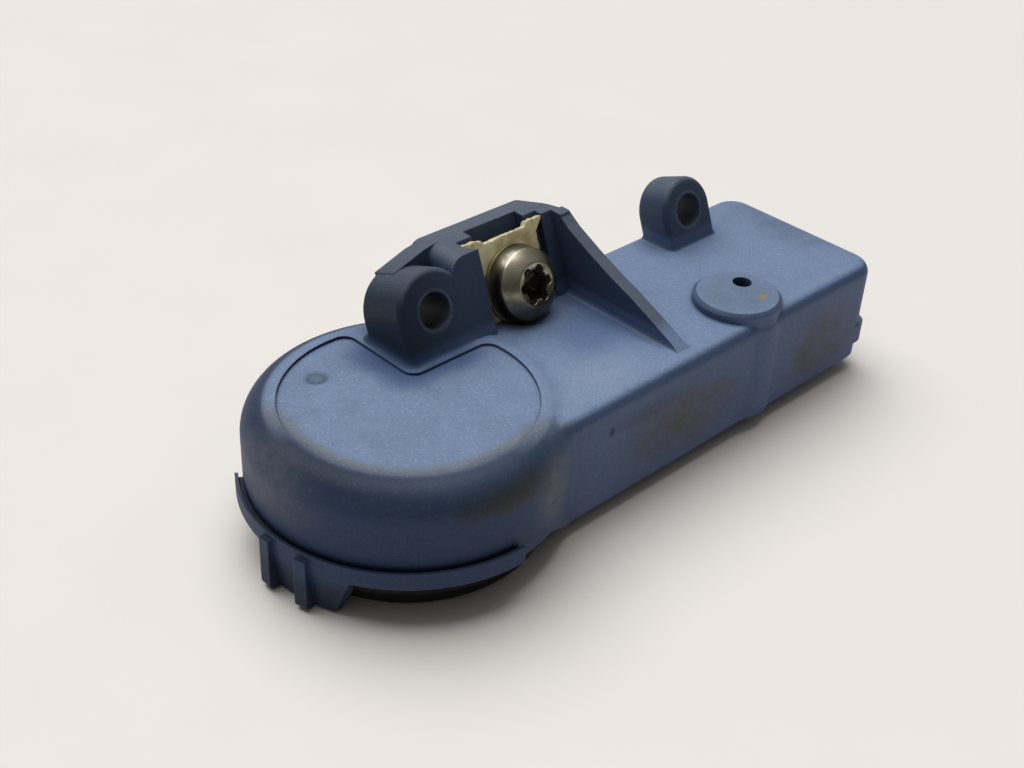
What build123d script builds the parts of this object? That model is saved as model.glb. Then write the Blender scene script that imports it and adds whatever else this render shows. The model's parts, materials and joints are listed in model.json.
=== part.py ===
from build123d import *
import math
import os

os.makedirs("parts", exist_ok=True)

# Tyre pressure sensor, millimetres, +Z up, floor at Z 0.
# Origin: the axis of the round battery end on the floor. +X runs along the arm, +Y to the valve side.

# Coin cell, the piece that sets the size of the round end
cell_r = 10.0
cell_h = 3.2
cell_gap = 0.2
cell_cap_inset = 1.4
cell_cap_h = 0.3
cell_edge = 0.4

# Stack inside, counted up from the board's underside; it sets the height of the top
board_bottom = 3.65
board_t = 1.0
board_top = board_bottom + board_t
board_fit = 0.1
foam_h = 0.5
foam_inset = 3.0
tab_strip_t = 0.2
tab_strip_w = 3.6
tab_foot = 2.2
cell_bottom = board_top + foam_h + tab_strip_t
cell_top = cell_bottom + cell_h
ceiling_gap = 0.05
ceiling_z = cell_top + tab_strip_t + ceiling_gap
tongue_over_board = 0.35
tongue_top = board_top + tongue_over_board

# Housing shell
wall = 1.3
roof = 1.4
mouth_step = 0.4
cavity_r = cell_r + cell_gap
mouth_r = cavity_r + mouth_step
round_r = cavity_r + wall
round_top = ceiling_z + roof
deck_drop = 0.1
deck_z = round_top - deck_drop
round_edge_r = 2.3
arm_drop = 0.2
arm_top = deck_z - arm_drop
arm_bottom = 1.4
arm_near_y = -9.5
arm_back_y = 6.1
arm_far_x = 42.1
arm_corner_r = 2.1
arm_edge_r = 1.0
junction_r = 2.5

# Rim round the battery end, its tab with ribs, and the skirt that drops from rim to arm
rim_proud = 0.55
rim_r = round_r + rim_proud
rim_top = 4.7
rim_bottom = 3.4
rim_groove_w = 0.3
rim_groove_depth = 0.4
rim_start_deg = 146.5
rim_stop_deg = 269.0
tab_t = 1.0
tab_draft = 0.5
tab_start_deg = 178.0
tab_foot_deg = 204.0
tab_stop_deg = 211.0
tab_bottom = 0.2
rib_w = 0.95
rib_proud = 0.4
rib_top = 4.3
rib_degs = (180.0, 195.2)
skirt_x0 = 3.4
skirt_x1 = 6.4

# Lip at the foot of the far end
lip_proud = 0.25
lip_top = 4.2
lip_bottom = 2.5
lip_corner_r = 1.4

# Label recess in the round top
label_r = 9.0
label_depth = 0.2
label_margin = 0.55
label_corner_r = 1.0
dimple_r = 0.9
dimple_depth = 0.2
dimple_pos = (-3.36, 5.96)

# Valve tower: all of it stands on an axis tilted back about X
tilt_deg = 21.8
tower_y = 2.2
valve_x = 13.75
valve_w = 2.55
tower_x0 = 7.4
tower_x1 = 19.8
tower_depth = 4.7
tower_front_w = 6.36
tower_crest_w = 7.35
tower_back_w = 7.55
tower_corner_r = 1.4
tower_shoulder_r = 1.5
root_w = -2.2
bay_x0 = 10.3
web_t = 1.1
foot_r = 0.4
pocket_w = 5.2
pocket_back = 2.4
back_rib_w = 7.2
back_rib_run = 2.8
gusset_back_y = 5.5
gusset_crest = [(4.75, 5.9), (3.5, 5.05), (1.3, 3.97), (-0.9, 3.0), (-3.0, 2.2), (-5.1, 1.27), (-8.2, -0.2)]
gusset_root = -0.8

# Valve plate let into the tower, washer and screw
plate_v = 0.95
plate_t = 0.55
plate_left_w = 4.07
plate_right_w = 3.83
plate_body_w = 3.1
plate_ear_h = 0.9
plate_notch_half_w = 2.1
plate_ear_w = 6.65
plate_mid_w = 6.3
plate_foot_w = 0.3
plate_fit = 0.05
screw_r = 1.5
screw_fit = 0.15
screw_proud = 2.0
screw_lead = 0.4
screw_end_v = tower_depth + screw_proud
washer_r = 3.0
washer_fit = 0.1
washer_t = 0.35
head_r = 2.9
head_shoulder_r = 2.7
head_side_h = 1.3
head_h = 2.05
head_land_r = 1.7
head_swell = (2.34, 1.83)
recess_r = 1.47
recess_lobe_r = 0.36
recess_depth = 1.2

# Lugs: hole position along X and up the tilted face, outer radius, depth
lug_hole_r = 1.355
lug_edge_r = 0.5
lug_foot_r = 0.5
lug_exit = 0.6
lugs = {
    "near": {"x": 5.31, "w": 3.4, "r": 3.1, "depth": tower_depth},
    "far": {"x": 32.45, "w": 2.6, "r": 2.75, "depth": 3.2},
}

# Pressure port boss on the arm
boss_pos = (27.75, -6.1)
boss_r = 3.45
boss_edge = 0.28
boss_rise = 0.6
boss_top = deck_z + boss_rise
column_pos = (27.6, -5.95)
column_r = 3.9
column_taper_h = 1.1
port_pos = (29.3, -5.3)
port_r = 0.75

# Base cover: a tray whose tongue seats on the step inside the housing
lid_fit = 0.1
tongue_t = 0.8
shelf_t = 1.4
lid_bottom = 1.6
lid_floor = 2.6
pad_inset = 0.6
pad_edge = 0.4
pad_set_back = 5.0
pad_far_x = arm_far_x - pad_set_back

# Sensor chip below the port, and the ring that seals the two
sensor_h = 2.2
sensor_size = 6.0
sensor_shift = (-0.7, 1.35)
sensor_hole_r = 0.5
seal_wall = 0.85

# Wound coil: a square core with end blocks, lying across the board
coil_x = 17.6
coil_y = -2.0
coil_len = 9.0
coil_block = 1.4
coil_block_half = 1.7
coil_core_half = 1.0
coil_wire = 0.6
coil_z = board_top + coil_block_half

# Antenna strip standing on the board across the far end
antenna_x = 35.6
antenna_w = 2.0
antenna_y0 = -5.6
antenna_y1 = 2.2
antenna_t = 0.5
antenna_h = 2.9

# Board parts: where each stands, length, width and height
tab_y = {"positive": -4.4, "negative": 1.4}
tab_start_x = 2.5
chip_bevel = 0.15
part_gap = 0.7
transmitter = {"x": 23.2, "y": 1.0, "length": 4.0, "width": 4.0, "height": 0.9}
crystal_can = {"x": 28.6, "y": 2.0, "length": 3.2, "width": 2.5, "height": 0.8}
store = {"x": 22.6, "y": -5.2, "length": 3.5, "width": 2.8, "height": 1.9}
capacitor = {"length": 1.0, "width": 0.6, "height": 0.6}
resistor = {"length": 1.0, "width": 0.6, "height": 0.35}
inductor = {"length": 1.6, "width": 1.0, "height": 0.9}
beside_tab_x = cavity_r + tab_foot + part_gap + resistor["length"] / 2
capacitor_spots = [(20.8, -1.4), (22.4, -1.9), (24.0, -1.9), (26.4, 3.2), (31.6, 1.2)]
resistor_spots = [(beside_tab_x, -6.0), (beside_tab_x, -4.6), (26.4, 0.2), (31.6, 2.8)]
inductor_spots = [(33.4, 1.8), (33.4, -0.6)]

tilt_c = math.cos(math.radians(tilt_deg))
tilt_s = math.sin(math.radians(tilt_deg))
low = (Align.CENTER, Align.CENTER, Align.MIN)


def prism(x0, x1, y0, y1, z0, z1):
    return Pos((x0 + x1) / 2, (y0 + y1) / 2, (z0 + z1) / 2) * Box(x1 - x0, y1 - y0, z1 - z0)


def post(x, y, r, z0, z1):
    return Pos(x, y, z0) * Cylinder(r, z1 - z0, align=low)


def tilted_point(v, w):
    # v runs into the tower from the lugs' front faces, w runs up along them; returns Y and Z
    return (tower_y + v * tilt_c + w * tilt_s, deck_z + w * tilt_c - v * tilt_s)


def tilted_plane(v, x=0.0, w=0.0):
    # local x along X, local y along w, local z out of the front faces
    return Plane(origin=(x, *tilted_point(v, w)), x_dir=(1, 0, 0), z_dir=(0, -tilt_c, tilt_s))


def side_slab(x0, x1, points):
    # a Y-Z outline carried along X
    return extrude(Plane.YZ.offset(x0) * Polygon(*points, align=None), amount=x1 - x0, dir=(1, 0, 0))


def tilted_box(x0, x1, v0, v1, w0, w1):
    corners = [(v0, w0), (v0, w1), (v1, w1), (v1, w0)]
    return side_slab(x0, x1, [tilted_point(v, w) for v, w in corners])


def tilted_slab(points, v0, v1):
    # an X-w outline carried into the tower
    return extrude(tilted_plane(v0) * Polygon(*points, align=None), amount=v1 - v0, dir=(0, tilt_c, -tilt_s))


def tilted_bore(x, w, r, v0, v1):
    return extrude(tilted_plane(v0, x, w) * Circle(r), amount=v1 - v0, dir=(0, tilt_c, -tilt_s))


def ring_sector(r0, r1, z0, z1, a0, a1):
    # part of a ring from angle a0 to a1, degrees anticlockwise from +X
    steps = [a0 + (a1 - a0) * i / 24 for i in range(25)]
    far = 2 * r1
    fan = [(far * math.cos(math.radians(a)), far * math.sin(math.radians(a))) for a in steps]
    ring = post(0, 0, r1, z0, z1) - post(0, 0, r0, z0 - 1, z1 + 1)
    return ring & extrude(Pos(0, 0, z0) * Polygon((0, 0), *fan, align=None), amount=z1 - z0)


def keyhole(inset):
    # outline of the housing's mouth, drawn in by inset
    x1 = arm_far_x - wall - inset
    y0 = arm_near_y + wall + inset
    y1 = arm_back_y - wall - inset
    bar = Pos(x1 / 2, (y0 + y1) / 2) * Rectangle(x1, y1 - y0)
    bar = fillet(bar.vertices().group_by(Axis.X)[-1], max(arm_corner_r - wall - inset, 0.3))
    return Circle(mouth_r - inset) + bar


def keyhole_slab(inset, z0, z1):
    return extrude(Pos(0, 0, z0) * keyhole(inset), amount=z1 - z0)


def edges_within(body, x0, x1, y0, y1, z0, z1):
    def inside(edge):
        spots = [edge.position_at(i / 4) for i in range(5)]
        return all(x0 < p.X < x1 and y0 < p.Y < y1 and z0 < p.Z < z1 for p in spots)

    return [e for e in body.edges() if inside(e)]


def shell():
    drum = post(0, 0, round_r, arm_bottom, round_top)
    drum = fillet(drum.edges().group_by(Axis.Z)[-1], round_edge_r)
    arm = prism(0, arm_far_x, arm_near_y, arm_back_y, arm_bottom, arm_top)
    arm = fillet(arm.edges().filter_by(Axis.Z).group_by(Axis.X)[-1], arm_corner_r)
    top_edges = arm.edges().group_by(Axis.Z)[-1].sort_by(Axis.X)[1:]
    arm = fillet(top_edges, arm_edge_r)
    body = drum + arm
    corners = [e for e in body.edges().filter_by(Axis.Z) if 3 < e.center().X < 12]
    body = fillet(corners, junction_r)
    under_rim = [
        (-2 * round_r, rim_bottom),
        (skirt_x0, rim_bottom),
        (skirt_x1, arm_bottom),
        (skirt_x1, arm_bottom - 1),
        (-2 * round_r, arm_bottom - 1),
    ]
    wedge = extrude(Plane.XZ * Polygon(*under_rim, align=None), amount=2 * round_r, both=True)
    return body - wedge


def rim():
    ring = ring_sector(mouth_r, rim_r, rim_bottom, rim_top, rim_start_deg, rim_stop_deg)
    tab = ring_sector(rim_r - tab_t, rim_r, tab_bottom, rim_top, tab_start_deg, tab_stop_deg)
    # the tab's near side runs in from the rim to its narrower foot
    y_root = rim_r * math.sin(math.radians(tab_stop_deg))
    y_foot = rim_r * math.sin(math.radians(tab_foot_deg))
    far = -2 * rim_r
    outside = [(y_root, rim_bottom), (y_foot, tab_bottom), (y_foot, -1), (far, -1), (far, rim_bottom)]
    # its outer face leans in towards the foot
    lean = Pos(0, 0, tab_bottom) * Cone(rim_r - tab_draft, rim_r, rim_bottom - tab_bottom, align=low)
    lean += post(0, 0, rim_r, rim_bottom, rim_top)
    ring += (tab & lean) - side_slab(far, 0, outside)
    for angle in rib_degs:
        rib = prism(rim_r - tab_t, rim_r + rib_proud, -rib_w / 2, rib_w / 2, tab_bottom, rib_top)
        foot = rib.edges().group_by(Axis.Z)[0].sort_by(Axis.X)[-1]
        ring += Rot(0, 0, angle) * fillet(foot, rib_proud)
    # groove between the drum's wall and the rim's top
    groove = (round_r, round_r + rim_groove_w, rim_top - rim_groove_depth, rim_top)
    return ring - ring_sector(*groove, rim_start_deg, rim_stop_deg)


def far_lip():
    lip = prism(arm_far_x - 4, arm_far_x + lip_proud, arm_near_y, arm_back_y, lip_bottom, lip_top)
    return fillet(lip.edges().filter_by(Axis.Z).group_by(Axis.X)[-1], lip_corner_r)


def boss():
    cap = post(*boss_pos, boss_r, ceiling_z, boss_top)
    cap = chamfer(cap.edges().group_by(Axis.Z)[-1], boss_edge)
    # the column below narrows to the cap over the arm's rounded edge
    taper_z = arm_top - column_taper_h
    taper = Pos(*column_pos, taper_z) * Cone(column_r, boss_r, column_taper_h, align=low)
    return cap + taper + post(*column_pos, column_r, arm_bottom, taper_z)


def lug(x, w, r, depth):
    arch = Pos(x, w) * Circle(r) + Pos(x, (w + root_w) / 2) * Rectangle(2 * r, w - root_w)
    body = extrude(tilted_plane(0) * arch, amount=depth, dir=(0, tilt_c, -tilt_s))
    across = [e for e in body.edges() if e.center().Z > deck_z - 2]
    rims = [e for e in across if abs(e.tangent_at(0.5).dot(Vector(0, tilt_c, -tilt_s))) < 0.01]
    return fillet(rims, lug_edge_r)


def tower():
    outline = [
        (0, root_w), (0, tower_front_w), (pocket_back, tower_crest_w),
        (tower_depth, tower_back_w), (tower_depth, root_w),
    ]
    block = side_slab(tower_x0, tower_x1, [tilted_point(v, w) for v, w in outline])
    right_back = block.edges().filter_by(lambda e: abs(e.center().X - tower_x1) < 0.01).sort_by(Axis.Y)[-1]
    block = fillet(right_back, tower_corner_r)
    # left shoulder rounded over
    left = block.edges().filter_by(lambda e: abs(e.center().X - tower_x0) < 0.01)
    block = fillet(left.sort_by(Axis.Z)[-2:], tower_shoulder_r)
    # screw bay in front of the plate
    block -= tilted_box(bay_x0, tower_x1 - web_t, -1, plate_v, root_w - 1, 2 * tower_back_w)
    # level front wall, over which the plate's left ear shows
    ear_x = valve_x - plate_left_w - plate_fit
    block -= tilted_box(ear_x, bay_x0 + 1, -1, plate_v, tower_front_w, 2 * tower_back_w)
    # back rib from the near lug's crest up to the tower
    near = lugs["near"]
    rise = [
        (near["x"] - 1, root_w), (near["x"] - 1, near["w"] + near["r"] - 0.1), (tower_x0, back_rib_w),
        (tower_x0 + back_rib_run, tower_back_w), (tower_x0 + back_rib_run, root_w),
    ]
    rib = tilted_slab(rise, pocket_back, tower_depth)
    under_roof = [
        (pocket_back, root_w), (pocket_back, tower_crest_w),
        (tower_depth, tower_back_w), (tower_depth, root_w),
    ]
    return block + (rib & side_slab(0, tower_x1, [tilted_point(v, w) for v, w in under_roof]))


def gusset():
    # thin web from the tower's right end down to the near side of the deck
    crest = [(gusset_back_y, gusset_crest[0][1])] + gusset_crest
    outline = crest + [(crest[-1][0], gusset_root), (gusset_back_y, gusset_root)]
    return side_slab(tower_x1 - web_t, tower_x1, [(y, deck_z + z) for y, z in outline])


def round_feet(body):
    # small fillets where the gusset and the far lug stand on the arm's top
    far = lugs["far"]
    deck = (arm_top - 0.02, arm_top + 0.02)
    back = arm_back_y - arm_edge_r + 0.05
    near = arm_near_y + arm_edge_r - 0.05
    feet = edges_within(body, tower_x1 - web_t - 0.1, tower_x1 + 0.1, near, back, *deck)
    reach = far["r"] + 0.1
    feet += edges_within(body, far["x"] - reach, far["x"] + reach, tower_y - 0.3, back, *deck)
    return fillet(feet, foot_r)


def housing():
    near = lugs["near"]
    body = shell() + lug(**near)
    reach = near["r"] + 0.2
    span = (near["x"] - reach, near["x"] + reach, tower_y - 0.2, round_r)
    body = fillet(edges_within(body, *span, deck_z - 1.6, deck_z + 0.15), lug_foot_r)
    body += rim() + far_lip() + boss()
    body += lug(**lugs["far"])
    body += tower()
    body += gusset()
    body = round_feet(body)
    body -= keyhole_slab(0, -1, tongue_top)
    body -= keyhole_slab(mouth_step, -1, ceiling_z)
    # label recess kept clear of the near lug's foot
    corner_x = near["x"] - near["r"] - label_margin
    keep = Pos(corner_x + round_r, tower_y - label_margin + round_r) * Rectangle(2 * round_r, 2 * round_r)
    label = Circle(label_r) - keep
    label = fillet(label.vertices(), label_corner_r)
    body -= extrude(Pos(0, 0, round_top - label_depth) * label, amount=1)
    # the dimple is a shallow cap of a ball
    ball_r = (dimple_r**2 + dimple_depth**2) / (2 * dimple_depth)
    ball_z = round_top - label_depth - dimple_depth + ball_r
    body -= Pos(*dimple_pos, ball_z) * Sphere(ball_r)
    # pocket behind the plate, ear slots, screw hole, lug holes and pressure port
    pocket_x0 = valve_x - pocket_w / 2
    body -= tilted_box(pocket_x0, pocket_x0 + pocket_w, plate_v, pocket_back, plate_foot_w, 2 * tower_back_w)
    slot_x0 = valve_x - plate_left_w - plate_fit
    slot_x1 = valve_x + plate_right_w + plate_fit
    slot_back = plate_v + plate_t + plate_fit
    body -= tilted_box(slot_x0, slot_x1, plate_v, slot_back, plate_foot_w, 2 * tower_back_w)
    body -= tilted_bore(valve_x, valve_w, screw_r + screw_fit, 0, tower_depth + 2)
    body -= tilted_bore(valve_x, valve_w, washer_r + washer_fit, -head_h, plate_v)
    for dims in lugs.values():
        body -= tilted_bore(dims["x"], dims["w"], lug_hole_r, -1, dims["depth"] + lug_exit)
    body -= post(*port_pos, port_r, ceiling_z - 1, boss_top + 1)
    return body


def base_cover():
    tray = keyhole_slab(lid_fit, lid_bottom, tongue_top)
    tray -= keyhole_slab(lid_fit + tongue_t, board_bottom, tongue_top)
    tray -= keyhole_slab(lid_fit + shelf_t, lid_floor, board_bottom)
    far = 2 * round_r
    pad = keyhole_slab(lid_fit + pad_inset, 0, lid_bottom)
    pad &= prism(-far, pad_far_x, -far, far, -1, lid_bottom)
    return tray + chamfer(pad.edges().group_by(Axis.Z)[0], pad_edge)


def valve_plate():
    left = -plate_left_w
    right = plate_right_w
    notch = plate_notch_half_w
    outline = [
        (left, plate_foot_w), (left, plate_ear_w), (-notch, plate_ear_w), (-notch, plate_mid_w),
        (notch, plate_mid_w), (notch, plate_ear_w), (right, plate_ear_w), (right, plate_ear_w - plate_ear_h),
        (plate_body_w, plate_ear_w - plate_ear_h), (plate_body_w, plate_foot_w),
    ]
    plate = tilted_slab([(valve_x + x, w) for x, w in outline], plate_v, plate_v + plate_t)
    return plate - tilted_bore(valve_x, valve_w, screw_r + screw_fit, 0, tower_depth)


def screw_washer():
    ring = tilted_bore(valve_x, valve_w, washer_r, plate_v - washer_t, plate_v)
    return ring - tilted_bore(valve_x, valve_w, screw_r + screw_fit, 0, tower_depth)


def valve_screw():
    # profile from the axis out, height above the washer; shank below
    seat_v = plate_v - washer_t
    shank = screw_end_v - seat_v
    with BuildPart() as screw:
        with BuildSketch(Plane.XZ):
            with BuildLine():
                Line((0, -shank), (screw_r - screw_lead, -shank))
                Line((screw_r - screw_lead, -shank), (screw_r, -shank + screw_lead))
                Line((screw_r, -shank + screw_lead), (screw_r, 0))
                Line((screw_r, 0), (head_r, 0))
                Line((head_r, 0), (head_shoulder_r, head_side_h))
                ThreePointArc((head_shoulder_r, head_side_h), head_swell, (head_land_r, head_h))
                Line((head_land_r, head_h), (0, head_h))
                Line((0, head_h), (0, -shank))
            make_face()
        revolve(axis=Axis.Z)
    star = Circle(recess_r - recess_lobe_r)
    for k in range(6):
        star += Rot(0, 0, 60 * k) * Pos(recess_r - recess_lobe_r, 0) * Circle(recess_lobe_r)
    body = screw.part - extrude(Pos(0, 0, head_h - recess_depth) * star, amount=recess_depth + 1)
    return tilted_plane(seat_v, valve_x, valve_w).location * body


def circuit_board():
    return keyhole_slab(lid_fit + tongue_t + board_fit, board_bottom, board_top)


def coin_cell():
    can = post(0, 0, cell_r, cell_bottom + cell_cap_h, cell_top)
    can = chamfer(can.edges().group_by(Axis.Z)[-1], cell_edge)
    return can + post(0, 0, cell_r - cell_cap_inset, cell_bottom, cell_bottom + cell_cap_h)


def cell_pad():
    return post(0, 0, cell_r - foam_inset, board_top, board_top + foam_h)


def battery_tab(y, z_cell):
    # strip welded to the cell, stepping down beside it to a foot on the board
    y0 = y - tab_strip_w / 2
    y1 = y + tab_strip_w / 2
    drop_x = cavity_r
    strip = prism(tab_start_x, drop_x + tab_strip_t, y0, y1, z_cell, z_cell + tab_strip_t)
    strip += prism(drop_x, drop_x + tab_strip_t, y0, y1, board_top, z_cell + tab_strip_t)
    return strip + prism(drop_x, drop_x + tab_foot, y0, y1, board_top, board_top + tab_strip_t)


def chip(x, y, length, width, height):
    body = Pos(x, y, board_top) * Box(length, width, height, align=low)
    return chamfer(body.edges().group_by(Axis.Z)[-1], min(chip_bevel, height / 4))


def sensor_chip():
    x = port_pos[0] + sensor_shift[0]
    y = port_pos[1] + sensor_shift[1]
    body = chip(x, y, sensor_size, sensor_size, sensor_h)
    top = board_top + sensor_h
    return body - post(*port_pos, sensor_hole_r, top - sensor_hole_r, top + 1)


def port_seal():
    tube = post(*port_pos, port_r + seal_wall, board_top + sensor_h, ceiling_z)
    return tube - post(*port_pos, port_r, board_top + sensor_h - 1, ceiling_z + 1)


def lf_coil_core():
    half = coil_len / 2
    core = Pos(coil_x, coil_y, coil_z) * Box(2 * coil_core_half, coil_len, 2 * coil_core_half)
    for y in (coil_y - half + coil_block / 2, coil_y + half - coil_block / 2):
        core += Pos(coil_x, y, coil_z) * Box(2 * coil_block_half, coil_block, 2 * coil_block_half)
    return core


def lf_coil_winding():
    across = 2 * (coil_core_half + coil_wire)
    sleeve = Pos(coil_x, coil_y, coil_z) * Box(across, coil_len - 2 * coil_block, across)
    sleeve = fillet(sleeve.edges().filter_by(Axis.Y), coil_wire)
    return sleeve - lf_coil_core()


def antenna():
    x1 = antenna_x + antenna_w
    top = board_top + antenna_h
    strip = prism(antenna_x, x1, antenna_y0, antenna_y1, top - antenna_t, top)
    for y in (antenna_y0, antenna_y1 - antenna_t):
        strip += prism(antenna_x, x1, y, y + antenna_t, board_top, top)
    return strip


def spread(spots, dims):
    return Compound(children=[chip(x, y, **dims) for x, y in spots])


parts = {
    "housing": housing(),
    "base_cover": base_cover(),
    "valve_plate": valve_plate(),
    "screw_washer": screw_washer(),
    "valve_screw": valve_screw(),
    "circuit_board": circuit_board(),
    "coin_cell": coin_cell(),
    "cell_pad": cell_pad(),
    "battery_tab_positive": battery_tab(tab_y["positive"], cell_top),
    "battery_tab_negative": battery_tab(tab_y["negative"], cell_bottom - tab_strip_t),
    "sensor_chip": sensor_chip(),
    "port_seal": port_seal(),
    "transmitter_chip": chip(**transmitter),
    "crystal": chip(**crystal_can),
    "lf_coil_core": lf_coil_core(),
    "lf_coil_winding": lf_coil_winding(),
    "antenna": antenna(),
    "storage_capacitor": chip(**store),
    "capacitors": spread(capacitor_spots, capacitor),
    "resistors": spread(resistor_spots, resistor),
    "inductors": spread(inductor_spots, inductor),
}

for name, solid in parts.items():
    solid.label = name
    export_step(solid, f"parts/{name}.step")
    print(name, round(solid.volume, 2))
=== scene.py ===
import json
import math
from functools import partial

import bmesh
import bpy
import numpy as np
from mathutils import Matrix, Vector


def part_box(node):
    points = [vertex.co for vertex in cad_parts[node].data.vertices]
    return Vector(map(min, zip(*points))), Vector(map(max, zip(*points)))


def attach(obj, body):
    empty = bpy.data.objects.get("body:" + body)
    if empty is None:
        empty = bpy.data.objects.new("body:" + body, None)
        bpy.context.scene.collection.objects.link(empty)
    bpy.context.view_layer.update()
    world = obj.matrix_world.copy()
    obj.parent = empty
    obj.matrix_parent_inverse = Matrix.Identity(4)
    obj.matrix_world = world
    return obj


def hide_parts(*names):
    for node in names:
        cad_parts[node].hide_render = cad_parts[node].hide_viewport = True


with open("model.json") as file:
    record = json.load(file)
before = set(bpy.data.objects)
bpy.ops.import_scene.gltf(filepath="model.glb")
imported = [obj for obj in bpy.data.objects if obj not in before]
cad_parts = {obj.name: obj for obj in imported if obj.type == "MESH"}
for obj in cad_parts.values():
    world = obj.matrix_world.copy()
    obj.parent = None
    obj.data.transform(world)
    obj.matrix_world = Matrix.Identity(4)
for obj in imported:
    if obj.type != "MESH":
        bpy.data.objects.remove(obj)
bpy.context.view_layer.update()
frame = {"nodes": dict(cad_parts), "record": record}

# Tyre pressure sensor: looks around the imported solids.
# Sizes are written in millimetres and turned to metres where they are used.
mm = 0.001
nodes = frame["nodes"]
record = frame["record"]
print("frame loaded:", len(nodes), "nodes")

# settings that many nodes share
soft = {"interpolation_type": "SMOOTHSTEP"}
blend = {"out": 2, "data_type": "RGBA"}  # a Mix of the colours 6 and 7 by the share 0
product = {"operation": "MULTIPLY"}
dot = {"out": "Value", "operation": "DOT_PRODUCT"}
length = {"out": "Value", "operation": "LENGTH"}


def hexColour(code):
    # sRGB hex to linear, with alpha 1
    value = np.array([int(code[i:i + 2], 16) for i in (1, 3, 5)]) / 255
    linear = np.where(value <= 0.04045, value / 12.92, ((value + 0.055) / 1.055) ** 2.4)
    return (*linear.tolist(), 1.0)


def addNode(tree, kind, inputs=(), out=0, **settings):
    # one node: settings first, then its inputs, in order or by key; a socket is linked, a hex code becomes a
    # colour and a value is set; gives back one output
    node = tree.nodes.new("ShaderNode" + kind)
    for key, value in settings.items():
        setattr(node, key, value)
    pairs = inputs.items() if isinstance(inputs, dict) else enumerate(inputs)
    for key, value in pairs:
        if isinstance(value, bpy.types.NodeSocket):
            tree.links.new(value, node.inputs[key])
        else:
            node.inputs[key].default_value = hexColour(value) if isinstance(value, str) else value
    return node.outputs[out]


def newMaterial(name, **fixed):
    # an empty material with its shader; fixed values sit on the shader's own sockets
    material = bpy.data.materials.new(name)
    material.use_nodes = True
    shader = material.node_tree.nodes["Principled BSDF"]
    for key, value in fixed.items():
        shader.inputs[key.replace("_", " ")].default_value = value
    return material, partial(addNode, material.node_tree), shader


def feed(shader, **sockets):
    # links what varies over the surface to the shader
    for key, socket in sockets.items():
        shader.id_data.links.new(socket, shader.inputs[key.replace("_", " ")])


def dress(obj, material):
    obj.data.materials.clear()
    obj.data.materials.append(material)


def addPiece(name, mesh, node, material):
    # a finished piece at the origin that stands for a CAD node
    obj = bpy.data.objects.new(name, mesh)
    bpy.context.scene.collection.objects.link(obj)
    dress(obj, material)
    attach(obj, "root")
    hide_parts(node)
    return obj


def gridMesh(name, points, wrapRows=False):
    # points[row, column, xyz] joined into quads; columns always close, rows close where asked
    rows, columns = points.shape[:2]
    index = np.arange(rows * columns).reshape(rows, columns)
    nextColumn = np.roll(index, -1, axis=1)
    if wrapRows:
        low, high = index, np.roll(index, -1, axis=0)
        lowNext, highNext = nextColumn, np.roll(nextColumn, -1, axis=0)
    else:
        low, high, lowNext, highNext = index[:-1], index[1:], nextColumn[:-1], nextColumn[1:]
    quads = np.stack([low, lowNext, highNext, high], axis=-1).reshape(-1, 4)
    mesh = bpy.data.meshes.new(name)
    mesh.from_pydata(points.reshape(-1, 3).tolist(), [], quads.tolist())
    weld = 0.0005 * mm
    work = bmesh.new()
    work.from_mesh(mesh)
    bmesh.ops.remove_doubles(work, verts=work.verts, dist=weld)
    bmesh.ops.dissolve_degenerate(work, dist=weld, edges=work.edges)
    bmesh.ops.recalc_face_normals(work, faces=work.faces)
    work.to_mesh(mesh)
    work.free()
    mesh.shade_smooth()
    return mesh


# Moulded nylon: near is the round battery end, far the arm, upper the tower, the lugs and the gusset

nylonLook = {
    "wallNear": "#2f4166",
    "wallFar": "#586a91",
    "wallFoot": "#1d2b43",
    # round tones: painted shade on the rounds, where they turn from the light
    "roundNear": "#2d3d58",
    "roundFar": "#465879",
    # crest: painted shade on the round end's front crest
    "crest": "#12243f",
    "upperNear": "#1d2b3d",
    "upperFar": "#384760",
    # tones of the pale film: dust together with painted light on what faces up
    "dustAndTopLight": "#7b90b3",
    "dustFront": "#8c95a1",
    "dustNear": "#3d495a",
    "dustFar": "#566170",
    # specks: dust with painted glints
    "speckAndGlint": "#a3b3cb",
    "edge": "#66748b",
    "boreRing": "#707b8a",
    # grime, also painted shade in holes and corners
    "grimeAndShade": "#0c1017",
    # where a tone or a film starts and ends: places in mm
    "farFrom": (2.0, 9.0),
    "upperFrom": (10.5, 11.3),
    "footFrom": (3.4, 2.2),
    "ringFrom": (7.5, 9.3),
    "frontFrom": (1.0, 6.0),
    "leftFrom": (2.0, 8.0),
    # the same by how far a face looks up, from 0 on a wall to 1 on the deck
    "roundShadeFacing": (0.15, 0.55),
    "crestFacing": (0.55, 0.85),
    "filmNear": (0.92, 0.998),
    "filmFar": (0.72, 0.99),
    "filmUpper": (0.45, 0.85),
    # ways across the floor that the front and the left of the round end look
    "frontWay": (-0.7, -0.7, 0.0),
    "leftWay": (-0.96, 0.26, 0.0),
    # pale ring at a bore, a painted highlight on its rim with wear: mm beyond its wall where it starts and
    # ends, and mm back from its mouth
    "boreOut": (0.30, 0.16),
    "boreIn": (0.04, 0.14),
    "boreBack": (0.8, 0.5),
    # size in mm, detail and roughness of each pattern; the real grain is about 0.05 mm, too fine to show, so
    # fine and grain are drawn coarser
    "patterns": {
        "mottle": (5.0, 5.0, 0.5),
        "drift": (2.2, 7.0, 0.65),
        "streaks": (1.8, 8.0, 0.75),
        "fine": (0.16, 6.0, 0.7),
        "grain": (0.13, 3.0, 0.5),
    },
    "speckSize": 0.19,  # real dust is finer, and is drawn coarser to show
    "edgeRadius": 0.15,
    "hollowReach": 5.0,
    "grainDepth": 0.012,
    "gloss": (0.48, 0.62),
    "ior": 1.5,
    "specular": 0.25,
}
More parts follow.
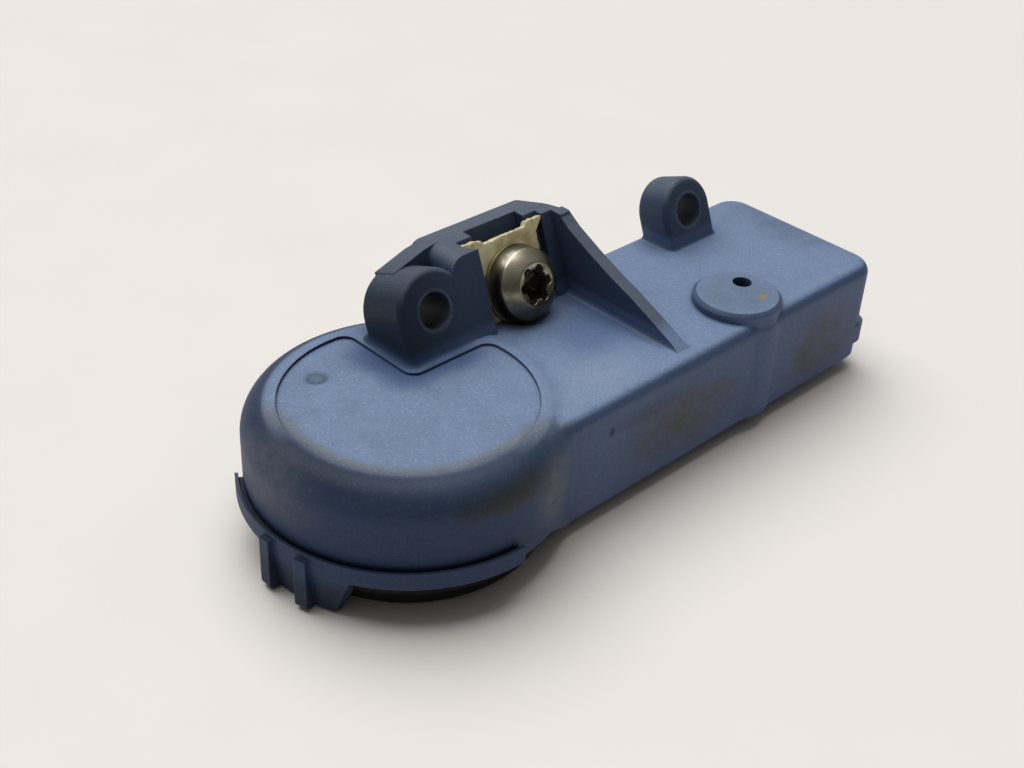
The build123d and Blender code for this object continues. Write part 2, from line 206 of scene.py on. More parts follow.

# dirt on the blue shell, with painted shade and painted light among it: middle and half widths in mm, colour,
# strength, and how much of it lies even
dirtShadeAndLightMarks = {
    "drumSmear": {
        "at": (0.4, -10.9, 8.7), "reach": (3.9, 2.2, 1.6), "hex": "#3c3d3a", "share": 0.95, "even": 0.15},
    "drumSmearLow": {
        "at": (-2.4, -10.9, 8.6), "reach": (4.0, 2.0, 1.4), "hex": "#343535", "share": 0.90, "even": 0.15},
    "cornerDust": {
        "at": (4.0, -11.0, 6.8), "reach": (3.8, 2.4, 4.0), "hex": "#6f757c", "share": 0.65, "even": 0.4},
    # dust with painted light on the round end's left wall
    "leftDustAndLight": {
        "at": (-11.0, 1.5, 8.0), "reach": (2.6, 7.0, 3.5), "hex": "#6a6d70", "share": 0.50, "even": 0.4},
    # painted shade on the deck round the near lug and in front of the tower
    "lugShadeA": {
        "at": (1.2, 5.2, 10.0), "reach": (2.4, 3.6, 0.9), "hex": "#37507c", "share": 0.80, "even": 0.85},
    "lugShadeB": {
        "at": (2.0, 2.2, 10.0), "reach": (3.2, 2.6, 0.9), "hex": "#37507c", "share": 0.80, "even": 0.85},
    "lugShadeC": {
        "at": (5.6, 1.6, 10.0), "reach": (3.6, 2.0, 0.9), "hex": "#37507c", "share": 0.75, "even": 0.85},
    # painted shade on the deck in front of the tower and gusset
    "bayShade": {
        "at": (16.0, -2.0, 10.1), "reach": (5.5, 4.2, 0.7), "hex": "#3a5482", "share": 0.60, "even": 0.85},
    "armSmear": {
        "at": (18.5, -9.5, 5.0), "reach": (8.5, 1.2, 4.0), "hex": "#55513f", "share": 0.75, "even": 0.4},
    "armEdge": {
        "at": (14.5, -9.3, 7.6), "reach": (6.0, 1.0, 1.2), "hex": "#3a3c3e", "share": 0.45, "even": 0.4},
    "farSmear": {
        "at": (35.5, -9.5, 4.6), "reach": (6.5, 1.2, 4.4), "hex": "#4f4a39", "share": 0.65, "even": 0.4},
    "endDirt": {
        "at": (42.4, 0.0, 5.0), "reach": (1.6, 12.0, 5.0), "hex": "#3e454d", "share": 0.95, "even": 0.4},
    "deckDust": {
        "at": (11.5, -6.6, 10.0), "reach": (6.0, 3.2, 0.8), "hex": "#8b9cb6", "share": 0.60, "even": 0.4},
    "bossRub": {
        "at": (27.6, -6.5, 10.8), "reach": (4.5, 4.5, 0.7), "hex": "#65768d", "share": 0.90, "even": 0.4},
    "endRub": {
        "at": (41.5, -1.0, 10.0), "reach": (5.0, 9.0, 0.8), "hex": "#56667d", "share": 0.65, "even": 0.4},
    "nick": {
        "at": (10.4, -9.5, 7.5), "reach": (0.4, 0.6, 0.6), "hex": "#2a2721", "share": 1.0, "even": 0.4},
    "bossSpot": {
        "at": (28.7, -7.7, 10.7), "reach": (0.7, 0.5, 0.4), "hex": "#93804a", "share": 0.9, "even": 0.4},
    "recessSpot": {
        "at": (-3.25, 5.9, 10.0), "reach": (1.2, 1.0, 0.6), "hex": "#303e57", "share": 0.8, "even": 0.4},
}


def mouldedNylon(name, look, marks):
    # glass-filled nylon, injection moulded: matt navy, with painted shade on its rounds, and paler blue from
    # dust and painted light where it faces up
    material, add, shader = newMaterial(name, IOR=look["ior"], Specular_IOR_Level=look["specular"])
    place = add("TexCoord", out="Object")
    shape = add("NewGeometry", out="Normal")
    facing = add("SeparateXYZ", (shape,), "Z")
    spot = add("SeparateXYZ", (place,)).node.outputs
    # each noise lies mostly between 0.3 and 0.7, so its windows below lie in there
    pattern = {}
    for key, (size, detail, rough) in look["patterns"].items():
        grid = {"Vector": place, "Scale": 1 / (size * mm), "Detail": detail, "Roughness": rough}
        pattern[key] = add("TexNoise", grid)

    # tones by place: wall, darker foot, darker tower and lugs; the rounds take a darker tone as painted shade
    # where they turn from the light
    far = add("MapRange", (spot["X"], *mm * np.array(look["farFrom"])), **soft)
    upper = add("MapRange", (spot["Z"], *mm * np.array(look["upperFrom"])), **soft)
    foot = add("MapRange", (spot["Z"], *mm * np.array(look["footFrom"])))
    wall = add("Mix", {0: foot, 6: look["wallNear"], 7: look["wallFoot"]}, **blend)
    wall = add("Mix", {0: far, 6: wall, 7: look["wallFar"]}, **blend)
    roundTone = add("Mix", {0: far, 6: look["roundNear"], 7: look["roundFar"]}, **blend)
    tall = add("Mix", {0: far, 6: look["upperNear"], 7: look["upperFar"]}, **blend)
    patchy = add("MapRange", (pattern["mottle"], 0.35, 0.65, 0.0, 0.25))
    wall = add("Mix", {0: patchy, 6: wall, 7: roundTone}, **blend)
    # painted shade: faces turning up from the wall take the darker round tone
    turning = add("MapRange", (facing, *look["roundShadeFacing"]), **soft)
    colour = add("Mix", {0: turning, 6: wall, 7: roundTone}, **blend)
    colour = add("Mix", {0: upper, 6: colour, 7: tall}, **blend)

    # dust and painted light: a paler film on what faces up, thinner in drifts, and thinner in hollows as
    # painted shade
    hollow = add("AmbientOcclusion", {"Distance": look["hollowReach"] * mm}, "AO", samples=8, only_local=True)
    filmNear = add("MapRange", (facing, *look["filmNear"]), **soft)
    filmFar = add("MapRange", (facing, *look["filmFar"]), **soft)
    filmUpper = add("MapRange", (facing, *look["filmUpper"]), **soft)
    dustAndLightFilm = add("Mix", {0: far, 2: filmNear, 3: filmFar})
    dustAndLightFilm = add("Mix", {0: upper, 2: dustAndLightFilm, 3: filmUpper})
    dustAndLightFilm = add("Math", (dustAndLightFilm, add("MapRange", (hollow, 0.5, 0.95, 0.3, 1.0))), **product)
    dustAndLightFilm = add("Math", (dustAndLightFilm, add("MapRange", (pattern["drift"], 0.3, 0.7, 0.75, 0.95))), **product)

    # the round end's front edge, which turns from the light: the pale film is taken off there as painted shade,
    # leaving a beige band of dust, and the crest to its left gets a darker colour as painted shade
    level = add("VectorMath", (place, (1, 1, 0)), **product)
    ring = add("VectorMath", (level,), **length)
    front = add("VectorMath", (level, look["frontWay"]), **dot)
    left = add("VectorMath", (level, look["leftWay"]), **dot)
    onRing = add("MapRange", (ring, *mm * np.array(look["ringFrom"])))
    inFront = add("MapRange", (front, *mm * np.array(look["frontFrom"])))
    atLeft = add("MapRange", (left, *mm * np.array(look["leftFrom"])))
    onCrest = add("MapRange", (facing, *look["crestFacing"]), **soft)
    edge = add("Math", (onRing, inFront), **product)
    dustAndLightFilm = add("Math", (dustAndLightFilm, add("MapRange", (edge, 0.0, 1.0, 1.0, 0.0))), **product)
    crest = add("Math", (add("Math", (atLeft, onCrest), **product), edge), **product)
    colour = add("Mix", {0: crest, 6: colour, 7: look["crest"]}, **blend)
    comes = add("MapRange", (edge, 0.0, 0.4), **soft)
    goes = add("MapRange", (edge, 0.95, 0.5), **soft)
    beige = add("Math", (comes, goes), **product)
    dustAndTopLight = add("Mix", {0: beige, 6: look["dustAndTopLight"], 7: look["dustFront"]}, **blend)
    greyer = add("Mix", {0: far, 6: look["dustNear"], 7: look["dustFar"]}, **blend)
    dustAndTopLight = add("Mix", {0: upper, 6: dustAndTopLight, 7: greyer}, **blend)
    colour = add("Mix", {0: dustAndLightFilm, 6: colour, 7: dustAndTopLight}, **blend)

    # specks of dust and painted glints: the middles of some cells, where the pale film lies
    cells = add("TexVoronoi", {"Vector": place, "Scale": 1 / (look["speckSize"] * mm)}, "Distance")
    chosen = add("SeparateColor", (cells.node.outputs["Color"],))
    middle = add("MapRange", (cells, 0.40, 0.10))
    speckAndGlint = add("Math", (middle, add("MapRange", (chosen, 0.5, 1.0))), **product)
    speckAndGlint = add("Math", (speckAndGlint, add("MapRange", (dustAndLightFilm, 0.0, 0.8, 0.08, 0.8))), **product)
    speckAndGlint = add("Math", (speckAndGlint, add("MapRange", (upper, 0.0, 1.0, 1.0, 0.35))), **product)
    colour = add("Mix", {0: speckAndGlint, 6: colour, 7: look["speckAndGlint"]}, **blend)

    # dirt, painted shade and painted light: a soft ball of streaks round each mark
    for mark in marks.values():
        reach = np.array(mark["reach"]) * mm
        shift = -np.array(mark["at"]) * mm / reach
        ball = add("Mapping", {"Vector": place, "Location": shift.tolist(), "Scale": (1 / reach).tolist()})
        inside = add("MapRange", (add("VectorMath", (ball,), **length), 1.0, 0.25), **soft)
        least = mark["even"] * mark["share"]
        streaky = add("MapRange", (pattern["streaks"], 0.38, 0.60, least, mark["share"]))
        share = add("Math", (inside, streaky), **product)
        colour = add("Mix", {0: share, 6: colour, 7: mark["hex"]}, **blend)

    # worn edges: where the rounded normal leaves the face's own
    rounded = add("Bevel", {"Radius": look["edgeRadius"] * mm}, samples=6)
    turned = add("MapRange", (add("VectorMath", (rounded, shape), **dot), 0.99, 0.82, 0.0, 0.6))
    worn = add("Math", (turned, add("MapRange", (hollow, 0.6, 0.85))), **product)
    colour = add("Mix", {0: worn, 6: colour, 7: look["edge"]}, **blend)

    # a pale ring at the mouth of each lug's bore, a painted highlight on its rim with wear: by distance from
    # its axis, and only near the front of it
    for bore in record["mounts"][1:]:
        off = add("VectorMath", (place, bore["pos_m"]), operation="SUBTRACT")
        along = add("VectorMath", (off, bore["axis"]), operation="PROJECT")
        away = add("VectorMath", (off, along), "Value", operation="DISTANCE")
        depth = add("VectorMath", (off, bore["axis"]), **dot)
        boreR, mouth = bore["dims"]["r_mm"], bore["dims"]["length_mm"] / 2
        outside = add("MapRange", (away, *mm * (boreR + np.array(look["boreOut"]))))
        inside = add("MapRange", (away, *mm * (boreR + np.array(look["boreIn"]))))
        atMouth = add("MapRange", (depth, *mm * (mouth - np.array(look["boreBack"]))))
        streaky = add("MapRange", (pattern["streaks"], 0.35, 0.65, 0.1, 0.6))
        rim = add("Math", (add("Math", (outside, inside), **product), atMouth), **product)
        rim = add("Math", (rim, streaky), **product)
        colour = add("Mix", {0: rim, 6: colour, 7: look["boreRing"]}, **blend)

    # painted shade with grime deep in holes and corners, and fine uneven grime over all of it
    deep = add("MapRange", (hollow, 0.60, 0.15, 0.0, 0.9))
    colour = add("Mix", {0: deep, 6: colour, 7: look["grimeAndShade"]}, **blend)
    uneven = add("MapRange", (pattern["fine"], 0.38, 0.68, 0.0, 0.24))
    colour = add("Mix", {0: uneven, 6: colour, 7: look["grimeAndShade"]}, **blend)

    matt = add("MapRange", (pattern["grain"], 0.3, 0.7, *look["gloss"]))
    bump = add("Bump", {
        "Height": pattern["grain"], "Normal": rounded, "Strength": 0.5, "Distance": look["grainDepth"] * mm})
    feed(shader, Base_Color=colour, Roughness=matt, Normal=bump)
    return material


# the shell's material: dust, dirt and wear with painted shade and painted light
shellNylon = mouldedNylon("nylonMouldedDustAndShade", nylonLook, dirtShadeAndLightMarks)
# the base cover near black as painted shade: under the rim it stands for the shadow there
coverShadeLook = {
    **nylonLook,
    "wallNear": "#121317",
    "wallFar": "#16181c",
    "wallFoot": "#0e0f12",
    "roundNear": "#131418",
    "roundFar": "#131418",
    "dustAndTopLight": "#1b1d22",
    "speckAndGlint": "#24262b",
    "edge": "#17191d",
}
coverShadeNylon = mouldedNylon("nylonCoverDarkAsShade", coverShadeLook, {})

shellForm = {"weld": 0.002, "sharp": 32.0, "steady": 90}


def mouldedShell():
    # the CAD shell with its doubles merged, so that its rounds shade as rounds
    mesh = nodes["housing"].data.copy()
    mesh.name = "mouldedShell"
    work = bmesh.new()
    work.from_mesh(mesh)
    bmesh.ops.remove_doubles(work, verts=work.verts, dist=shellForm["weld"] * mm)
    work.to_mesh(mesh)
    work.free()
    if "custom_normal" in mesh.attributes:  # the loose triangles' own normals would outweigh the merged ones
        mesh.attributes.remove(mesh.attributes["custom_normal"])
    mesh.shade_smooth()
    mesh.set_sharp_from_angle(angle=math.radians(shellForm["sharp"]))
    obj = addPiece("mouldedShell", mesh, "housing", shellNylon)
    # large flat faces keep their own normals beside the rounds
    steady = obj.modifiers.new("steadyNormals", "WEIGHTED_NORMAL")
    steady.weight = shellForm["steady"]
    steady.keep_sharp = True


mouldedShell()
dress(nodes["base_cover"], coverShadeNylon)
print("shell and cover dressed")


# Metal: plate, washer and screw

# the valve axis, taken from the lug's bore and the washer's middle
axisOut = np.array(record["mounts"][1]["axis"], float)
axisUp = np.array([0.0, axisOut[2], -axisOut[1]])
axisSide = np.array([1.0, 0.0, 0.0])
washerLow, washerHigh = (np.array(corner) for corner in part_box("screw_washer"))
washerMiddle = (washerLow + washerHigh) / 2


def onAxis(x, w, out, start):
    # points from side, up and outward measures along the tilted valve axis
    return start + x[..., None] * axisSide + w[..., None] * axisUp + out[..., None] * axisOut


# heights in mm: along the valve axis where the head's underside is, and across it where the tarnish with
# painted dark reflection and the darkening below lie
valveHeights = {"head": (-0.6, -0.3), "top": (2.6, 0.6), "darkerBelow": (0.2, -1.6)}


def stainedMetal(name, look):
    # plated steel or brass: bright where rubbed, darker in blotches, with fine tool marks; painted shade with
    # grime in its hollows, which is no metal
    material, add, shader = newMaterial(name)
    place = add("TexCoord", out="Object")
    blotch = add("TexNoise", {"Vector": place, "Scale": 1 / (look["blotch"] * mm), "Detail": 5.0})
    blotch = add("MapRange", (blotch, 0.36, 0.66))
    colour = add("Mix", {0: blotch, 6: look["bright"], 7: look["stain"]}, **blend)

    # tarnish and painted dark reflection on the head's side: from its underside to a height along the valve
    # axis, less of it at the top
    along = add("VectorMath", (place, axisOut.tolist()), **dot)
    across = add("VectorMath", (place, axisUp.tolist()), **dot)
    base, middle = float(washerMiddle @ axisOut), float(washerMiddle @ axisUp)
    below = add("MapRange", (along, *base + mm * np.array(look["tarnishAndReflection"]), 0.9, 0.0))
    onHead = add("MapRange", (along, *base + mm * np.array(valveHeights["head"])))
    lower = add("MapRange", (across, *middle + mm * np.array(valveHeights["top"]), 0.6, 1.0))
    band = add("Math", (add("Math", (below, onHead), **product), lower), **product)
    colour = add("Mix", {0: band, 6: colour, 7: look["grimeAndShade"]}, **blend)

    # darker below the middle, which on the screw's head is a painted dark reflection; then painted shade with
    # grime in what is closed in
    darkerBelow = add("MapRange", (across, *middle + mm * np.array(valveHeights["darkerBelow"]), 0.0, look["darkerBelow"]))
    colour = add("Mix", {0: darkerBelow, 6: colour, 7: look["grimeAndShade"]}, **blend)
    hollow = add("AmbientOcclusion", {"Distance": look["hollowReach"] * mm}, "AO", samples=8)
    pitShade = add("MapRange", (hollow, look["open"], look["shut"], 0.0, 0.92))
    colour = add("Mix", {0: pitShade, 6: colour, 7: look["pit"]}, **blend)
    bare = add("MapRange", (hollow, look["shut"], look["open"], 0.25 * look["metal"], look["metal"]))

    dull = add("MapRange", (blotch, 0.0, 1.0, *look["gloss"]))
    lines = add("Mapping", {"Vector": place, "Scale": [1 / (size * mm) for size in look["lines"]]})
    lines = add("TexNoise", {"Vector": lines, "Scale": 1.0, "Detail": 3.0})
    rounded = add("Bevel", {"Radius": look["edge"] * mm}, samples=6)
    marks = {"Height": lines, "Normal": rounded, "Strength": 0.4, "Distance": look["lineDepth"] * mm}
    feed(shader, Base_Color=colour, Metallic=bare, Roughness=dull, Normal=add("Bump", marks))
    return material


# sizes in mm; real tool marks are finer than these lines, which are drawn coarser to show; a tarnish with
# painted reflection that ends below the piece is none
plateLook = {
    "bright": "#efe7bd", "stain": "#bdb184", "grimeAndShade": "#2a2a20", "pit": "#2a2a20",
    "blotch": 1.2, "lines": (0.6, 0.08, 0.08), "lineDepth": 0.008, "edge": 0.06,
    "gloss": (0.40, 0.55), "metal": 0.25, "hollowReach": 1.5, "open": 0.45, "shut": 0.1,
    "tarnishAndReflection": (-9.0, -8.0), "darkerBelow": 0.10,
}
washerLook = {
    "bright": "#b9b08a", "stain": "#8a825f", "grimeAndShade": "#1f1e16", "pit": "#1f1e16",
    "blotch": 0.9, "lines": (0.2, 0.2, 0.2), "lineDepth": 0.008, "edge": 0.06,
    "gloss": (0.28, 0.42), "metal": 0.9, "hollowReach": 1.5, "open": 0.6, "shut": 0.2,
    "tarnishAndReflection": (-9.0, -8.0), "darkerBelow": 0.2,
}
screwLook = {
    "bright": "#b9b4a2", "stain": "#8d8973", "grimeAndShade": "#1c1913", "pit": "#4a4537",
    "blotch": 1.0, "lines": (0.25, 0.25, 0.25), "lineDepth": 0.008, "edge": 0.05,
    "gloss": (0.26, 0.40), "metal": 1.0, "hollowReach": 1.2, "open": 0.70, "shut": 0.20,
    "tarnishAndReflection": (1.30, 1.50), "darkerBelow": 0.75,
}
plateMetal = stainedMetal("steelYellowPassivated", plateLook)
washerMetal = stainedMetal("brassTurned", washerLook)
screwMetal = stainedMetal("steelColdHeaded", screwLook)

screwForm = {
    "washerT": 0.35,
    "shankR": 1.5,
    "shankLen": 6.1,
    "lead": 0.4,
    "pitch": 0.5,
    "threadDepth": 0.24,
    "threadLen": 4.4,
    "threadRows": 150,
    "tipGap": 0.02,
    "flank": (1.35, 0.12),  # steepness of the thread's sides, and width of its crest
    "headR": 2.9,
    "shoulderR": 2.7,
    "headSide": 1.3,
    "headH": 2.05,
    "landR": 1.7,
    "swell": (2.22, 1.71),
    "domeRows": 22,
    "landEase": (0.06, 0.005),
    "edge": 0.10,
    "edgeRows": 5,
    "fillet": 0.05,
    "recessR": 1.47,
    "recessEase": 0.10,
    "lobeR": 0.36,
    "recessDepth": 1.2,
    "mouthDrop": (0.0, 0.04, 0.12),
    "mouthGrow": (0.09, 0.04, 0.0, 0.0, -0.02),
    "floorShare": (0.6, 0.3, 0.0),
    "floorCone": 0.25,
    "columns": 216,
    "sharp": 50,
}


def valveScrew():
    # radius and height along a profile from tip to recess floor, turned round the axis; the shank's radius also
    # falls off in a saw of height less turn, which is the thread, and the recess takes six round lobes by angle
    form = screwForm
    turn = np.linspace(0, 2 * np.pi, form["columns"], endpoint=False)
    around = np.ones_like(turn)
    shankR, headR, headH, edge = form["shankR"], form["headR"], form["headH"], form["edge"]
    tip = -form["shankLen"]
    threadTop = tip + form["threadLen"]
    heights = np.linspace(tip + form["tipGap"], threadTop, form["threadRows"])
    crest = np.clip(np.minimum((heights - tip) / form["lead"], (threadTop - heights) / form["pitch"]), 0, 1)
    saw = np.abs(((heights[:, None] / form["pitch"] - turn / (2 * np.pi)) % 1.0) * 2 - 1)
    saw = np.clip(saw * form["flank"][0] - form["flank"][1], 0, 1)
    inset = np.clip(1 - (heights - tip) / form["lead"], 0, 1) * form["lead"]
    threadR = shankR - inset[:, None] - form["threadDepth"] * saw * crest[:, None]
    threadH = np.broadcast_to(heights[:, None], threadR.shape)
    tipR = np.array([0.0, 0.5])[:, None] * around * shankR
    tipH = np.full_like(tipR, tip)

    # head: underside, side with eased corners, dome as a curve through its swell, flat land
    bend = np.linspace(0, 1, form["domeRows"])
    quarter = np.linspace(0, np.pi / 2, form["edgeRows"])
    ease = edge * (1 - np.cos(quarter))
    lift = edge * np.sin(quarter)
    start = np.array([form["shoulderR"], form["headSide"]])
    end = np.array([form["landR"], headH])
    pull = 2 * np.array(form["swell"]) - (start + end) / 2
    dome = np.outer((1 - bend) ** 2, start) + np.outer(2 * bend * (1 - bend), pull) + np.outer(bend ** 2, end)
    fillet = form["fillet"]
    landIn, landUp = form["landEase"]
    head = np.vstack([
        [[shankR, threadTop + fillet], [shankR, -fillet], [shankR + fillet, 0.0], [headR - edge, 0.0]],
        np.column_stack([headR - edge + lift, ease])[1:],
        dome,
        [[form["landR"] - landIn, headH + landUp], [form["recessR"] + form["recessEase"], headH]],
    ])
    domeR = head[:, :1] * around
    domeH = head[:, 1:] * around

    # recess: lobes as six small circles about a core, eased at the mouth, with a coned floor
    core = form["recessR"] - form["lobeR"]
    off = (turn + np.pi / 6) % (np.pi / 3) - np.pi / 6
    aside = np.abs(core * np.sin(off))
    reach = np.sqrt(np.clip(form["lobeR"] ** 2 - aside ** 2, 0, None)) + core * np.cos(off)
    star = np.where(aside < form["lobeR"], np.maximum(reach, core), core)
    floorZ = headH - form["recessDepth"]
    wallH = np.array([*(headH - drop for drop in form["mouthDrop"]), (headH + floorZ) / 2, floorZ])
    recessR = star + np.array(form["mouthGrow"])[:, None]
    recessH = wallH[:, None] * around
    floorShare = np.array(form["floorShare"])[:, None]
    floorR = floorShare * star
    floorH = (floorZ - form["floorCone"] * (1 - floorShare)) * around

    radius = np.vstack([tipR, threadR, domeR, recessR, floorR]) * mm
    height = np.vstack([tipH, threadH, domeH, recessH, floorH]) * mm
    seat = washerMiddle + axisOut * form["washerT"] / 2 * mm
    mesh = gridMesh("valveScrew", onAxis(radius * np.cos(turn), radius * np.sin(turn), height, seat))
    mesh.set_sharp_from_angle(angle=math.radians(form["sharp"]))
    addPiece("valveScrew", mesh, "valve_screw", screwMetal)


plateForm = {
    "holeR": 1.65,
    "left": 4.07,
    "right": 3.83,
    "body": 3.1,
    "underEar": 3.2,
    "notchHalf": 2.1,
    "ear": 4.1,
    "mid": 3.75,
    "foot": 2.25,
    "thick": 0.55,
    "torn": 0.07,
    "tornKnots": 34,
    "tornPast": 0.3,  # how far beyond the sides the tear is worked out
    "notchTorn": 0.3,  # share of the tear in the notch
    "burr": 0.05,
    "burrStep": 9,
    "burrFrom": 0.5,
    "columns": 900,
    "seed": 11,
    "sharp": 30,
}


def valvePlate():
    # a ring of sheet from the screw hole out to the sheared outline, as a closed loop of front, edge, back and
    # hole; the outline's top is torn: its height wanders with place along the shear
    form = plateForm
    rng = np.random.default_rng(form["seed"])
    turn = np.linspace(0, 2 * np.pi, form["columns"], endpoint=False)
    cosT, sinT = np.cos(turn), np.sin(turn)
    tiny, shallow, beyond = 1e-3, 0.3, 99.0
    tornTo = form["left"] + form["tornPast"]
    knots = np.sort(rng.uniform(-tornTo, tornTo, form["tornKnots"]))
    tear = np.interp(form["mid"] * cosT / np.maximum(sinT, shallow), knots, rng.normal(0, 1, knots.size))
    tear = form["torn"] * tear
    reachMid = form["mid"] / np.maximum(sinT, tiny)
    onEar = np.abs(reachMid * cosT) > form["notchHalf"]
    top = np.where(onEar, form["ear"] + tear, form["mid"] + form["notchTorn"] * tear)
    reachTop = np.where(sinT > tiny, top / np.maximum(sinT, tiny), beyond)
    reachFoot = np.where(sinT < -tiny, form["foot"] / np.maximum(-sinT, tiny), beyond)
    # the right side stands in below its ear
    rightSide = np.where(form["body"] * sinT < form["underEar"] * cosT, form["body"], form["right"])
    side = np.where(cosT < 0, form["left"], rightSide)
    reachSide = side / np.maximum(np.abs(cosT), tiny)
    reach = np.minimum(np.minimum(reachTop, reachFoot), reachSide)

    # the loop: front out to the edge, over it and back, by share of the way out and depth
    share = np.array([0.0, 0.35, 0.7, 0.97, 1.0, 1.0, 0.97, 0.7, 0.35, 0.0])[:, None]
    depth = np.array([0.0, 0.0, 0.0, 0.0, 0.12, 0.88, 1.0, 1.0, 1.0, 1.0])[:, None] * form["thick"]
    radius = (form["holeR"] + share * (reach - form["holeR"])) * mm
    steps = np.arange(0, turn.size, form["burrStep"])
    burr = form["burr"] * np.abs(np.interp(np.arange(turn.size), steps, rng.normal(0, 1, steps.size)))
    burred = (share == 1.0) & (depth < form["thick"] / 2) & (sinT > form["burrFrom"])
    out = -depth + np.where(burred, burr, 0.0)
    seat = washerMiddle - axisOut * screwForm["washerT"] / 2 * mm
    mesh = gridMesh("valvePlate", onAxis(radius * cosT, radius * sinT, out * mm, seat), wrapRows=True)
    mesh.set_sharp_from_angle(angle=math.radians(form["sharp"]))
    addPiece("valvePlate", mesh, "valve_plate", plateMetal)


valveScrew()
valvePlate()
dress(nodes["screw_washer"], washerMetal)
print("plate, washer and screw made")


# Inner pieces: what each is made of, two tones, pattern size along X, Y and Z in mm; rolled and drawn lines are
# finer than 0.1 mm, and are drawn that coarse to show

innerFinish = {
    "fibreglassResist": {  # green resist over woven glass
        "nodes": ["circuit_board"],
        "low": "#1f4a2c", "high": "#2c6a3d", "size": (0.6, 0.6, 0.6), "rough": (0.30, 0.42), "metal": 0.0},
    "steelDrawnCan": {  # nickel-plated can, drawn
        "nodes": ["coin_cell", "crystal"],
        "low": "#9d9c97", "high": "#bdbcb6", "size": (3.0, 0.12, 3.0), "rough": (0.24, 0.36), "metal": 1.0},
    "nickelStrip": {  # rolled strip with fine lines along it
        "nodes": ["battery_tab_positive", "battery_tab_negative"],
        "low": "#a39f95", "high": "#c2beb3", "size": (4.0, 0.1, 0.1), "rough": (0.28, 0.42), "metal": 1.0},
    "foamClosedCell": {  # dark foam, small pores
        "nodes": ["cell_pad"],
        "low": "#232426", "high": "#37393b", "size": (0.3, 0.3, 0.3), "rough": (0.80, 0.95), "metal": 0.0},
    "epoxyMoulded": {  # black epoxy, fine matt
        "nodes": ["sensor_chip", "transmitter_chip", "resistors"],
        "low": "#1b1c1e", "high": "#2a2b2e", "size": (0.15, 0.15, 0.15), "rough": (0.50, 0.65), "metal": 0.0},
    "siliconeMoulded": {  # soft dark seal, faint sheen
        "nodes": ["port_seal"],
        "low": "#2a2a2b", "high": "#363637", "size": (0.4, 0.4, 0.4), "rough": (0.55, 0.70), "metal": 0.0},
    "ferriteSintered": {  # grey-black, grainy
        "nodes": ["lf_coil_core", "inductors"],
        "low": "#2b2b2d", "high": "#434346", "size": (0.2, 0.2, 0.2), "rough": (0.60, 0.75), "metal": 0.0},
    "copperEnamelled": {  # turns of wire lie side by side across the core
        "nodes": ["lf_coil_winding"],
        "low": "#6e3518", "high": "#b86a35", "size": (9.0, 0.16, 9.0), "rough": (0.25, 0.35), "metal": 1.0},
    "brassStrip": {  # rolled brass
        "nodes": ["antenna"],
        "low": "#a5894a", "high": "#c6aa66", "size": (0.1, 4.0, 0.1), "rough": (0.28, 0.40), "metal": 1.0},
    "ceramicFired": {  # fired ceramic, tan
        "nodes": ["storage_capacitor", "capacitors"],
        "low": "#7d5f3c", "high": "#9a7a52", "size": (0.25, 0.25, 0.25), "rough": (0.40, 0.55), "metal": 0.0},
}
innerRelief = {"strength": 0.4, "depth": 0.02}


def innerMaterial(name, look):
    # two tones and a gloss that follow one noise, stretched along the pattern's sizes
    material, add, shader = newMaterial(name, Metallic=look["metal"])
    place = add("TexCoord", out="Object")
    place = add("Mapping", {"Vector": place, "Scale": [1 / (size * mm) for size in look["size"]]})
    pattern = add("TexNoise", {"Vector": place, "Scale": 1.0, "Detail": 3.0})
    tone = add("MapRange", (pattern, 0.35, 0.65))
    colour = add("Mix", {0: tone, 6: look["low"], 7: look["high"]}, **blend)
    gloss = add("MapRange", (tone, 0.0, 1.0, *look["rough"]))
    bump = add("Bump", {
        "Height": pattern, "Strength": innerRelief["strength"], "Distance": innerRelief["depth"] * mm})
    feed(shader, Base_Color=colour, Roughness=gloss, Normal=bump)
    return material


for finishName, finish in innerFinish.items():
    finishMaterial = innerMaterial(finishName, finish)
    for nodeName in finish["nodes"]:
        dress(nodes[nodeName], finishMaterial)
print("inner pieces dressed:", len(innerFinish), "finishes")


# Floor, light and camera

floorLook = {
    "hex": "#eae6e2",
    "warm": "#e8e4df",
    "blotch": 12.0,
    "radius": (0.0, 1000.0, 2800.0),
    "height": (0.0, 0.0, 90.0),
    "columns": 96,
    "rough": 0.7,
}


def paleFloor():
    # painted board: off-white, faintly mottled; radius and height along a profile turned round the part, flat
    # first and then rising a little, so that low views still end in floor
    material, add, shader = newMaterial("boardPaintedMatt", Roughness=floorLook["rough"])
    place = add("TexCoord", out="Object")
    mottle = add("TexNoise", {"Vector": place, "Scale": 1 / (floorLook["blotch"] * mm), "Detail": 8.0})
    mottle = add("MapRange", (mottle, 0.3, 0.7))
    feed(shader, Base_Color=add("Mix", {0: mottle, 6: floorLook["hex"], 7: floorLook["warm"]}, **blend))
    turn = np.linspace(0, 2 * np.pi, floorLook["columns"], endpoint=False)
    radius = np.array(floorLook["radius"])[:, None] * mm
    height = np.array(floorLook["height"])[:, None] * mm
    points = np.stack([radius * np.cos(turn), radius * np.sin(turn), height + 0 * turn], axis=-1)
    obj = bpy.data.objects.new("paleFloor", gridMesh("paleFloor", points))
    bpy.context.scene.collection.objects.link(obj)
    dress(obj, material)


light = {
    "keyFrom": (0.09, 0.40, 1.0),
    "keyStrength": 2.65,
    "keySpread": 62.0,
    "room": "#fdf9f3",
    "bright": 0.34,
    "dim": 0.02,
    "brightFrom": (-0.1, 0.9),
}


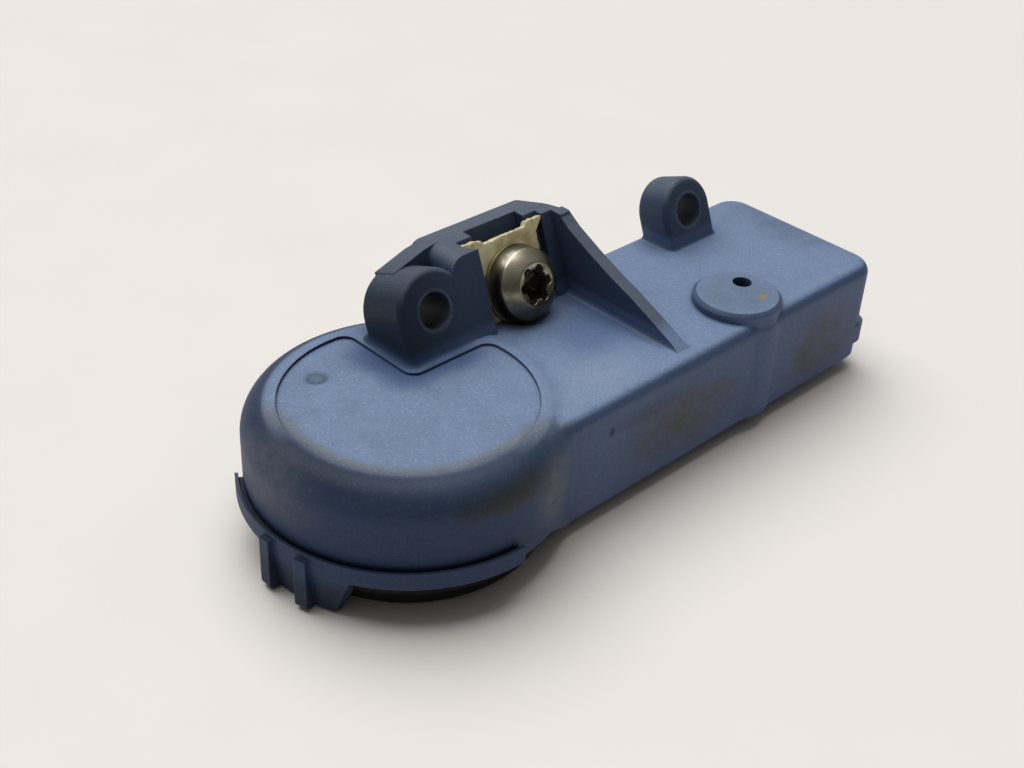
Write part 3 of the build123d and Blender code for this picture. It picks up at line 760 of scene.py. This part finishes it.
def studioLight():
    # one broad soft key from above and behind, and a room that is pale behind the part and dim before it
    lamp = bpy.data.lights.new("softKey", "SUN")
    lamp.energy = light["keyStrength"]
    lamp.angle = math.radians(light["keySpread"])
    obj = bpy.data.objects.new("softKey", lamp)
    bpy.context.scene.collection.objects.link(obj)
    away = np.array(light["keyFrom"]) / np.linalg.norm(light["keyFrom"])
    side = np.cross([0.0, 1.0, 0.0], away)
    side /= np.linalg.norm(side)
    obj.matrix_world = Matrix(np.column_stack([side, np.cross(away, side), away]).tolist()).to_4x4()
    world = bpy.data.worlds.new("paleRoom")
    bpy.context.scene.world = world
    world.use_nodes = True
    tree = world.node_tree
    tree.nodes.clear()
    direction = addNode(tree, "TexCoord", out="Generated")
    behind = addNode(tree, "VectorMath", (direction, away.tolist()), **dot)
    level = addNode(tree, "MapRange", (behind, *light["brightFrom"], light["dim"], light["bright"]))
    room = addNode(tree, "Background", {"Color": light["room"], "Strength": level})
    tree.links.new(room, tree.nodes.new("ShaderNodeOutputWorld").inputs["Surface"])


shot = {
    "aim": (6.455, -3.385, 10.1),
    "azimuth": -45.311,
    "elevation": 34.092,
    "roll": 3.015,
    "away": 100.525,
    "lens": 50.97,
    "sensor": 36.0,
    "clip": (1.0, 100000.0),
}


def photoCamera():
    # stands back from the aim at the azimuth and elevation, then rolls about its own line of sight
    azimuth, elevation, roll = (math.radians(shot[key]) for key in ("azimuth", "elevation", "roll"))
    back = np.array([
        math.sin(azimuth) * math.cos(elevation), -math.cos(azimuth) * math.cos(elevation), math.sin(elevation)])
    level = np.array([math.cos(azimuth), math.sin(azimuth), 0.0])
    right = math.cos(roll) * level + math.sin(roll) * np.cross(back, level)
    camera = bpy.data.cameras.new("photoCamera")
    camera.lens = shot["lens"]
    camera.sensor_width = shot["sensor"]
    camera.clip_start, camera.clip_end = (limit * mm for limit in shot["clip"])
    obj = bpy.data.objects.new("photoCamera", camera)
    bpy.context.scene.collection.objects.link(obj)
    turned = Matrix(np.column_stack([right, np.cross(back, right), back]).tolist()).to_4x4()
    place = (np.array(shot["aim"]) + back * shot["away"]) * mm
    obj.matrix_world = Matrix.Translation(place.tolist()) @ turned
    bpy.context.scene.camera = obj


paleFloor()
studioLight()
photoCamera()
bpy.context.scene.view_settings.view_transform = "Standard"
print("floor, light and camera set")
